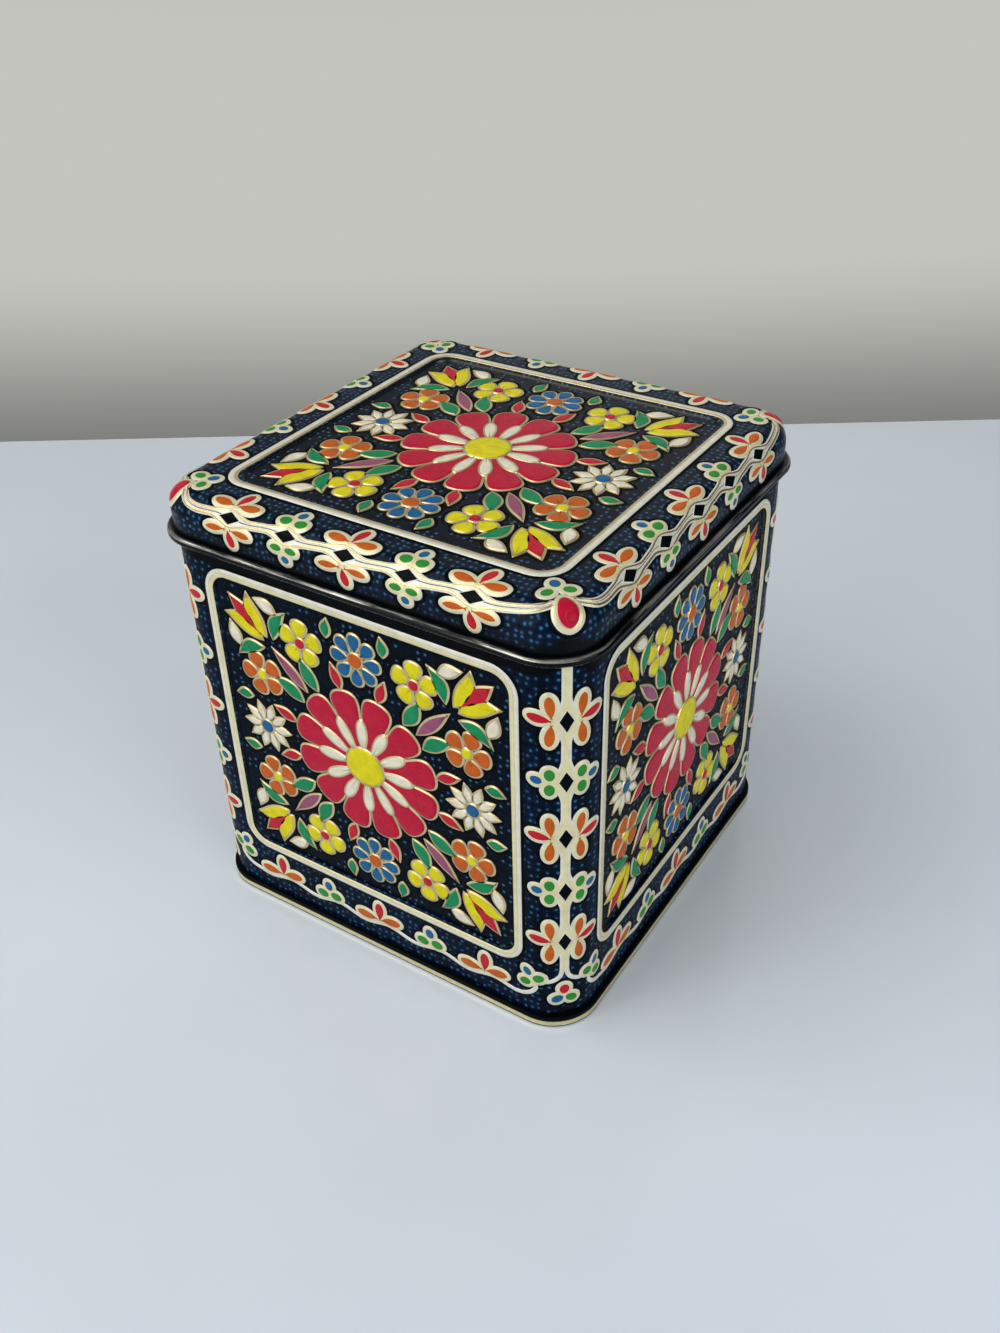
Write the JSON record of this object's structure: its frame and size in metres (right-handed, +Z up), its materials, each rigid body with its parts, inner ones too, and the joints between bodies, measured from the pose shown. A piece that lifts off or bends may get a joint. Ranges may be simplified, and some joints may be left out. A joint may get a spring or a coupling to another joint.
{
  "type": "square tin box",
  "caption": "Square tinplate box with a slip-on lid, rounded upright corners, sunk decorated panels, rolled edges and a double-seamed bottom.",
  "frame": {"origin": "middle of the foot, on the surface that the tin stands on", "axes": "+Z up along the tin's axis, -Y out of the front panel, +X out of the right panel"},
  "size_m": [0.1042, 0.1042, 0.107],
  "materials": {
    "lid_lacquer": "gloss",
    "body_lacquer": "gloss",
    "gold_lacquer": "satin"
  },
  "bodies": {
    "tin": {"body": "body_lacquer", "bottom": "gold_lacquer"},
    "lid": {"lid": "lid_lacquer"}
  },
  "joints": [
    {"name": "lid_lift", "type": "slide", "parent": "tin", "child": "lid", "axis": [0, 0, 1], "range_m": [0, 0.12]}
  ]
}
